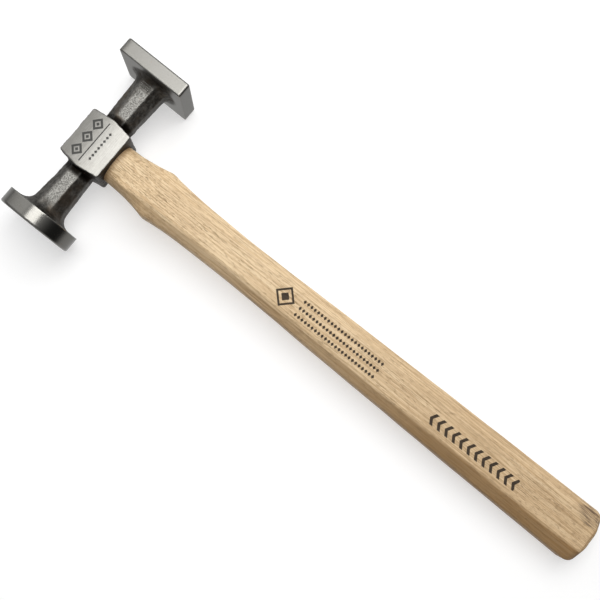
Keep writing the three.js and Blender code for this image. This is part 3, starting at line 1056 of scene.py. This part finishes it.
def burned_marks(s):
    """Ornament on the handle's front: a lozenge, three rows of beads and a row of chevrons."""
    badge = lozenge(s.x - BADGE_X, s.y, BADGE_HALF, BADGE_HALF)
    outline = badge.between(1.0, 0.96) * badge.between(0.72, 0.76)
    badge = outline.most(badge.between(0.44, 0.4))
    bead_x = (s.x - BEAD_FIRST_X).repeat(BEAD_SPACING[0])
    bead = lozenge(bead_x, s.y.repeat(BEAD_SPACING[1]), *BEAD_HALVES).between(1.0, 0.85)
    beads = bead * abs(s.y).between(*BEAD_ROWS_SIDE) * abs(s.x - BEADS_X).between(*BEADS_END)
    aside = abs(s.y - CHEVRONS_Y)
    chevron = (s.x - CHEVRON_FIRST_X - aside * CHEVRON_SLOPE).repeat(CHEVRON_SPACING).between(*CHEVRON_SIDE)
    chevrons = chevron * aside.between(*CHEVRONS_SIDE) * abs(s.x - CHEVRONS_X).between(*CHEVRONS_END)
    return badge.most(beads).most(chevrons) * s.z.between(*BURNED_MARKS_Z)


def scale_colour(s, pits):
    """The forged skin: gray with brown patches, with painted shade in its hollows, painted shadow where the
    necks meet the block, and painted shade on the block's wall beside the handle.
    """
    shoulder = abs(s.y).between(*SHOULDER_FROM) * abs(s.y).between(*SHOULDER_TO)
    root = abs(s.y).between(*ROOT_FROM) * abs(s.y).between(*ROOT_TO) * s.z.between(*ROOT_FRONT)
    eye_wall = s.x.between(*EYE_WALL_X) * s.y.between(*EYE_WALL_Y)
    return s.layered(s.colour(pits.between(*EVEN_RANGE), SCALE_DARK, SCALE_PALE), [
        (s.noise(*PATCH_NOISE).between(*PATCH_RANGE), 0.7, SCALE_BROWN),
        # painted shade in hollows, painted shadow at the necks' roots, painted shade on the block's wall
        # beside the handle
        (s.attribute("hollow"), 0.8, HOLLOW_PAINTED_SHADE),
        (shoulder, 1, SHOULDER_PAINTED_SHADOW),
        (root, 0.9, ROOT_PAINTED_SHADOW),
        (eye_wall, 0.8, EYE_WALL_PAINTED_SHADE),
    ])


def ground_colour(s, speckle, brushed):
    """Bright ground steel: speckled, mottled, and duller on the square plate's front, with painted shade
    towards that front's -X end.
    """
    plate = s.y.between(*ON_PLATE) * s.z.between(*PLATE_FRONT)
    return s.layered(s.colour(brushed, GROUND_DARK, GROUND_PALE), [
        (speckle.between(*SPECKLE_RANGE), 0.25, GROUND_SPECKLED),
        (s.noise(*MOTTLE_NOISE).between(*MOTTLE_RANGE), 0.3, GROUND_MOTTLED),
        (plate, 0.25, PLATE_DULL),
        # painted shade towards the -X end of the plate's front
        (plate * s.x.between(*PLATE_NEAR), 0.85, PLATE_END_PAINTED_SHADE),
    ])


def steel_height(ground, facet, pits, speckle, brushing):
    """The steel's fine relief: pitted scale, matt strips, and nearly smooth where it is ground."""
    skin = pits * 0.7 + speckle * 0.3
    matt = speckle * 0.35 + 0.4
    polish = brushing * 0.05 + speckle * 0.03 + 0.5
    return skin * ground.most(facet).inverse() + matt * facet + polish * ground


def steel_material():
    """Forged scale on the necks and the block's sides, ground bright on the cheeks and plates."""
    s = Surface("forged_and_ground_steel")
    ground = s.attribute("ground")
    facet = s.attribute("facet")
    speckle = s.noise(*SPECKLE_NOISE)
    pits = s.noise(*PIT_NOISE)
    brushing = s.noise(*BRUSHING_NOISE)
    cheek = abs(s.y).between(*ON_CHEEK)
    marks = etched_marks(s)
    grooves = forging_grooves(s)
    strip = s.colour(speckle.between(*EVEN_RANGE), STRIP_DARK, STRIP_PALE)
    bright = ground_colour(s, speckle, brushing.between(*BRUSHING_RANGE) * cheek)
    rust = s.noise(*RUST_SPOT_NOISE).between(*RUST_SPOT_RANGE)
    s.set("Base Color", s.layered(scale_colour(s, pits), [
        (facet.most(grooves * 0.8), 1, strip),
        (ground, 1, bright),
        (s.attribute("edge"), ground * 0.3 + 0.2, EDGE_WORN),
        (rust, s.noise(*RUST_AREA_NOISE).between(*RUST_AREA_RANGE), RUST),
        (marks, 0.85, ETCHED),
    ]))
    s.set("Metallic", 1.0)
    rough = pits * 0.3 + 0.36
    smooth = speckle * 0.1 + 0.3 - s.y.between(*ON_RIM) * RIM_POLISH
    s.set("Roughness", (rough * ground.inverse() + smooth * ground + marks * 0.3).least(0.9))
    height = steel_height(ground, facet, pits, speckle, brushing * cheek)
    s.bump(height - marks * 0.08 - grooves * 0.7, 0.35)
    return s.material


def wood_fields(s):
    """Growth rings across the width, drawn out along the handle, and the pores between them."""
    bend = s.noise(*DRIFT_NOISE) * DRIFT + s.noise(*WAVER_NOISE) * WAVER
    ring = ((s.y * RING_SLOPE_Y + s.z * RING_SLOPE_Z + bend) / RING_WIDTH).math("FRACT")
    late = ring.between(*LATE_WOOD_STARTS) * ring.between(*LATE_WOOD_ENDS)
    pores = s.noise(*PORE_NOISE).between(*PORE_RANGE)
    flecks = s.noise(*FLECK_NOISE).between(*FLECK_RANGE)
    flecks = flecks * s.noise(*FLECK_BREAK_NOISE).between(*FLECK_BREAK_RANGE)
    fibre = s.noise(*LONG_FIBRE_NOISE) * 0.6 + s.noise(*SHORT_FIBRE_NOISE) * 0.4
    return late, pores, flecks, fibre


def smudge_share(s):
    """A streaked stain with a ragged edge, on the handle's front near the butt."""
    along = (s.x - SMUDGE_PLACE[0]) / SMUDGE_SIZE[0]
    across = (s.y - SMUDGE_PLACE[1]) / SMUDGE_SIZE[1]
    ragged = s.noise(*RAGGED_NOISE) * SMUDGE_RAGGED - SMUDGE_RAGGED / 2
    streaks = s.noise(*STREAK_NOISE).between(*STREAK_RANGE)
    smudge = (along * along + across * across + ragged).between(*SMUDGE_SIDE)
    return smudge * (streaks * 0.75 + 0.2) * s.z.between(*FRONT_Z)


def aged_colour(s, colour):
    """The handle's wood: darker towards the butt from wear and from painted shade, with painted shade on
    the lower chamfer and in the dark grain there, a stain, painted shade with a brown tint by the eye's
    mouth and at the butt's end, and a painted shadow in the gap at the mouth.
    """
    worn_and_shaded = s.x.between(*WORN_AND_SHADED_X)
    lines = s.noise(*LINE_NOISE).between(*LINE_RANGE)
    near_neck = abs(s.x - FIGURE_NECK_X).between(*FIGURE_NECK_SIDE) * 0.7
    figure_and_shade = s.noise(*FIGURE_NOISE).between(*FIGURE_RANGE) * s.y.between(*FIGURE_Y)
    figure_and_shade = figure_and_shade * near_neck.most(s.x.between(*FIGURE_BUTT_X))
    # painted shade: a dark line along the butt's rounded edge, by the eye's mouth with a brown tint, and at
    # the butt's end
    crease = abs(s.x - CREASE_X).between(*CREASE_SIDE) * 0.5
    shade_and_grime = s.x.between(*MOUTH_SHADE_AND_GRIME_X) * 0.6 + crease + s.x.between(*BUTT_PAINTED_SHADE_X) * 0.4
    return s.layered(colour, [
        # darker towards the butt: wear and painted shade
        (worn_and_shaded, 0.32, WORN_AND_SHADED_BROWN),
        (lines * worn_and_shaded, 0.45, LINE_BROWN),
        # dark grain on the lower side, partly painted shade
        (figure_and_shade, 0.75, FIGURE_AND_SHADE_BROWN),
        # painted shade on the lower chamfer, deeper towards the butt
        (s.y.between(*CHAMFER_Y), worn_and_shaded * 0.48 + 0.34, CHAMFER_PAINTED_SHADE),
        (smudge_share(s), 1, SMUDGE_BROWN),
        (shade_and_grime, 1, SHADE_AND_GRIME_BROWN),
        # painted shadow in the gap at the eye's mouth
        (s.x.between(*MOUTH_X), 1, MOUTH_GAP_SHADOW),
    ])


def hickory_material(name, pale, deep, marked):
    """Open-pored wood. Marked, it is the handle's: aged, and burned with ornament."""
    s = Surface(name)
    late, pores, flecks, fibre = wood_fields(s)
    colour = s.layered(s.colour(s.noise(*TONE_NOISE).between(*EVEN_RANGE), pale, deep), [
        (late, 0.46, LATE_WOOD),
        (fibre.between(*FIBRE_RANGE), 0.5, FIBRE_BROWN),
        (pores, 0.5, PORE_BROWN),
        (flecks, 0.55, FLECK_BROWN),
    ])
    height = fibre * 0.4 + pores.inverse() * 0.3 + flecks.inverse() * 0.3
    roughness = fibre * 0.14 + 0.48
    if marked:
        marks = burned_marks(s) * s.noise(*CHAR_NOISE).between(*CHAR_RANGE)
        colour = s.layered(aged_colour(s, colour), [(marks, 0.95, BURNED)])
        height = height - marks * 0.5
        roughness = roughness + marks * 0.2
    s.set("Base Color", colour)
    s.set("Roughness", roughness)
    s.set("Specular IOR Level", 0.35)
    s.bump(height, 0.3)
    return s.material


def wedge_steel_material():
    """Plain steel, scratched along the head and dented by the driving."""
    s = Surface("wedge_steel")
    scratches = s.noise(*SCRATCH_NOISE)
    dents = s.noise(*DENT_NOISE)
    s.set("Base Color", s.colour(dents.between(*DENT_RANGE), WEDGE_STEEL_PALE, WEDGE_STEEL_DARK))
    s.set("Metallic", 1.0)
    s.set("Roughness", scratches * 0.2 + 0.3)
    s.bump(scratches * 0.4 + dents * 0.6, 0.1)
    return s.material


# ---------------------------------------------------------------- stage

def build_floor():
    """A white light table, so that what stands on it hardly shades it."""
    corners = [(x * FLOOR_HALF, y * FLOOR_HALF, 0) for x, y in ((-1, -1), (1, -1), (1, 1), (-1, 1))]
    mesh = bpy.data.meshes.new("floor")
    mesh.from_pydata(corners, [], [(0, 1, 2, 3)])
    material = bpy.data.materials.new("pale_floor")
    material.use_nodes = True
    shader = material.node_tree.nodes["Principled BSDF"]
    shader.inputs["Base Color"].default_value = (FLOOR_GRAY, FLOOR_GRAY, FLOOR_GRAY, 1)
    shader.inputs["Roughness"].default_value = FLOOR_ROUGHNESS
    shader.inputs["Emission Color"].default_value = WHITE
    shader.inputs["Emission Strength"].default_value = FLOOR_GLOW
    mesh.materials.append(material)
    floor = bpy.data.objects.new("floor", mesh)
    bpy.context.scene.collection.objects.link(floor)
    floor.visible_glossy = False


def soft_light(name, place, size, power):
    """A rectangular soft box that faces the hammer's eye and is never seen itself."""
    data = bpy.data.lights.new(name, "AREA")
    data.shape = "RECTANGLE"
    data.size, data.size_y = (side * MM for side in size)
    data.energy = power
    lamp = bpy.data.objects.new(name, data)
    bpy.context.scene.collection.objects.link(lamp)
    lamp.location = TOOL @ (Vector(place) * MM)
    lamp.rotation_euler = (TOOL @ Vector() - lamp.location).to_track_quat("-Z", "Y").to_euler()
    lamp.visible_camera = False


def build_world():
    """Soft surroundings, pale below and above on the bright side, and plain white where seen.

    Pale panels stand opposite the two faces, and show only in reflections.
    """
    world = bpy.data.worlds.new("studio")
    bpy.context.scene.world = world
    world.use_nodes = True
    tree = world.node_tree
    direction = tree.nodes.new("ShaderNodeTexCoord")
    towards = tree.nodes.new("ShaderNodeVectorMath")
    towards.operation = "DOT_PRODUCT"
    towards.inputs[1].default_value = BRIGHT_SIDE.normalized()
    split = tree.nodes.new("ShaderNodeSeparateXYZ")
    for socket in (towards.inputs[0], split.inputs[0]):
        tree.links.new(direction.outputs["Generated"], socket)
    path = tree.nodes.new("ShaderNodeLightPath")
    above = Field(tree, towards.outputs["Value"]).between(*ABOVE_RANGE) * WORLD_ABOVE
    below = Field(tree, split.outputs["Z"]).between(*BELOW_RANGE) * WORLD_BELOW
    sides = abs(Field(tree, split.outputs["Y"])).between(*SIDES_RANGE) * WORLD_SIDES
    mirrored = sides * Field(tree, path.outputs["Is Glossy Ray"])
    seen = Field(tree, path.outputs["Is Camera Ray"]) * WORLD_SEEN
    strength = (above.most(below).most(mirrored) + WORLD_SHADE).most(seen)
    background = tree.nodes["Background"]
    tree.links.new(strength.socket, background.inputs["Strength"])
    background.inputs["Color"].default_value = WHITE


def build_camera():
    """The photograph's view, turned about its line of sight so that the handle slants down."""
    back = (CAMERA_PLACE - CAMERA_AIM).normalized()
    along = Vector((1, 0, 0))
    along = (along - back * along.dot(back)).normalized()
    right = along * math.cos(HANDLE_SLANT) + back.cross(along) * math.sin(HANDLE_SLANT)
    turn = Matrix((right, back.cross(right), back)).transposed()
    data = bpy.data.cameras.new("camera")
    data.lens = CAMERA_LENS
    data.clip_start = CAMERA_NEAR
    data.clip_end = CAMERA_FAR
    camera = bpy.data.objects.new("camera", data)
    bpy.context.scene.collection.objects.link(camera)
    camera.matrix_world = TOOL @ Matrix.Translation(CAMERA_PLACE * MM) @ turn.to_4x4()
    bpy.context.scene.camera = camera


def place_piece(piece, node):
    """Ties a piece to the hammer's one body, and hides the CAD node it stands for."""
    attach(piece, "root")
    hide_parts(node)


build_camera()
build_floor()
build_world()
soft_light("overhead", *OVERHEAD_BOX)
soft_light("fill", *FILL_BOX)

head = build_head(steel_material())
place_piece(head, "hammer_head")

handle = build_handle(hickory_material("hickory", HICKORY_PALE, HICKORY_DEEP, marked=True))
cut(handle, [wedge_solid("kerf", CUT_GAP, OVERRUN), ring_solid("groove", CUT_GAP, OVERRUN)])
place_piece(handle, "handle")

wedge_wood = hickory_material("wedge_wood", WEDGE_WOOD_PALE, WEDGE_WOOD_DEEP, marked=False)
wedge = wedge_solid("wooden_wedge_piece", 0, WEDGE_PROUD, wedge_wood)
cut(wedge, [ring_solid("groove", CUT_GAP, OVERRUN)])
place_piece(wedge, "wooden_wedge")

ring = ring_solid("ring_wedge_piece", 0, RING_PROUD, wedge_steel_material())
place_piece(ring, "ring_wedge")

bpy.context.scene.view_settings.view_transform = "Standard"
